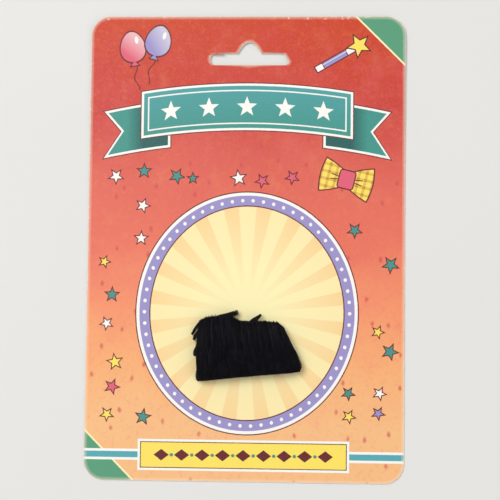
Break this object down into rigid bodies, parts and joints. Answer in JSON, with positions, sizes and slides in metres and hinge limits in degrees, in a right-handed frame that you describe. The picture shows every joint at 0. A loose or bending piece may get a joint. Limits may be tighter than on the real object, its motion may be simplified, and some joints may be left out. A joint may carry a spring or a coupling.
{
  "type": "fake moustache on a display card",
  "caption": "Self-adhesive fake moustache of long black pile, stuck to a flat printed hang card with a hang slot.",
  "frame": {"origin": "middle of the card's back face, which the part lies on", "axes": "+Z out of the printed front, +Y to the card's top edge with the hang slot, +X to the right seen from the front"},
  "size_m": [0.128, 0.188, 0.0088],
  "materials": {
    "printed_card": "semi-gloss printed board, coral to peach, pale bare board at the cut edges and on the back",
    "adhesive_tape": "off-white double-sided tape, matt",
    "black_pile": "matt black acrylic long-pile fur"
  },
  "bodies": {
    "root": {"backing_card": "printed_card", "adhesive_pad": "adhesive_tape", "moustache_fur": "black_pile"}
  },
  "joints": []
}
